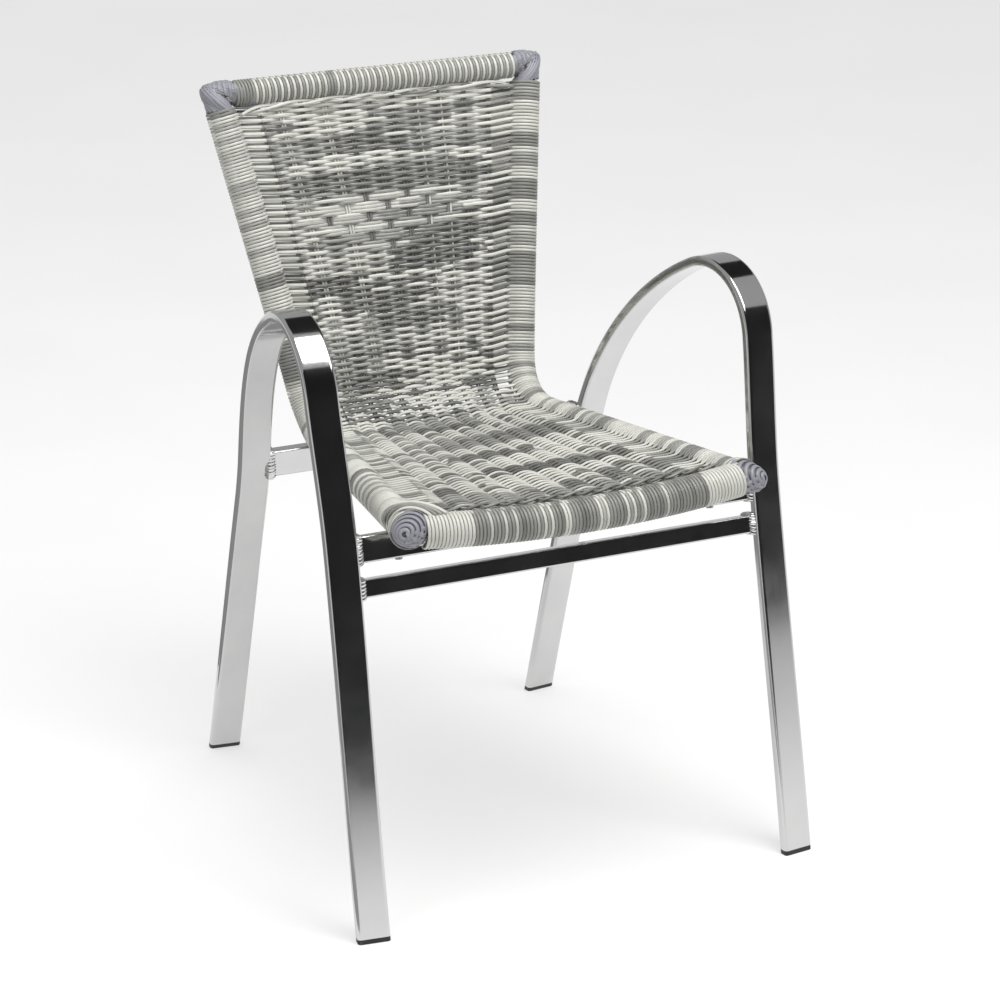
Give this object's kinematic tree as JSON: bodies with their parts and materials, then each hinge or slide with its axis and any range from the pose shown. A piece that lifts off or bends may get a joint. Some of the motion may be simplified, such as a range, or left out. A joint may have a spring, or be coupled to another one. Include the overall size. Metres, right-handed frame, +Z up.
{
  "type": "bistro armchair",
  "caption": "Stacking bistro armchair: bent flat-tube aluminium loops as legs and arms, welded crossbars, and a seat and back woven of plastic cane on wound tube rails.",
  "frame": {"origin": "on the floor, under the centre of the chair's bounding box", "axes": "+X to the sitter's left, +Y to the rear, +Z up; the chair faces -Y"},
  "size_m": [0.5512, 0.5832, 0.7913],
  "materials": {
    "polished_aluminium": "polished, mirror-like",
    "satin_aluminium": "satin",
    "weld_aluminium": "bright rippled weld",
    "black_plug": "fine matte",
    "white_cane": "slightly glossy flat cane strand",
    "grey_cane": "slightly glossy flat cane strand",
    "cap_cane": "braided cane, slightly glossy",
    "screw_steel": "bright zinc"
  },
  "bodies": {
    "root": {"left_loop": "polished_aluminium", "left_front_foot_plug": "black_plug", "left_rear_foot_plug": "black_plug", "left_front_screw": "screw_steel", "left_rear_screw": "screw_steel", "left_upper_front_bar_weld": "weld_aluminium", "left_lower_front_bar_weld": "weld_aluminium", "left_rear_bar_weld": "weld_aluminium", "left_side_rail": "satin_aluminium", "left_side_winding": "white_cane", "left_front_cap": "cap_cane", "left_top_cap": "cap_cane", "right_loop": "polished_aluminium", "right_front_foot_plug": "black_plug", "right_rear_foot_plug": "black_plug", "right_front_screw": "screw_steel", "right_rear_screw": "screw_steel", "right_upper_front_bar_weld": "weld_aluminium", "right_lower_front_bar_weld": "weld_aluminium", "right_rear_bar_weld": "weld_aluminium", "right_side_rail": "satin_aluminium", "right_side_winding": "white_cane", "right_front_cap": "cap_cane", "right_top_cap": "cap_cane", "upper_front_bar": "satin_aluminium", "lower_front_bar": "satin_aluminium", "rear_bar": "satin_aluminium", "front_rail": "satin_aluminium", "top_rail": "satin_aluminium", "front_winding": "grey_cane", "top_winding": "white_cane", "seat_weave": "grey_cane", "back_weave": "white_cane", "warp_stake_1": "grey_cane", "warp_stake_2": "grey_cane", "warp_stake_3": "grey_cane", "warp_stake_4": "grey_cane", "warp_stake_5": "grey_cane", "warp_stake_6": "grey_cane", "warp_stake_7": "grey_cane", "warp_stake_8": "grey_cane", "warp_stake_9": "grey_cane", "warp_stake_10": "grey_cane", "warp_stake_11": "grey_cane"}
  },
  "joints": []
}
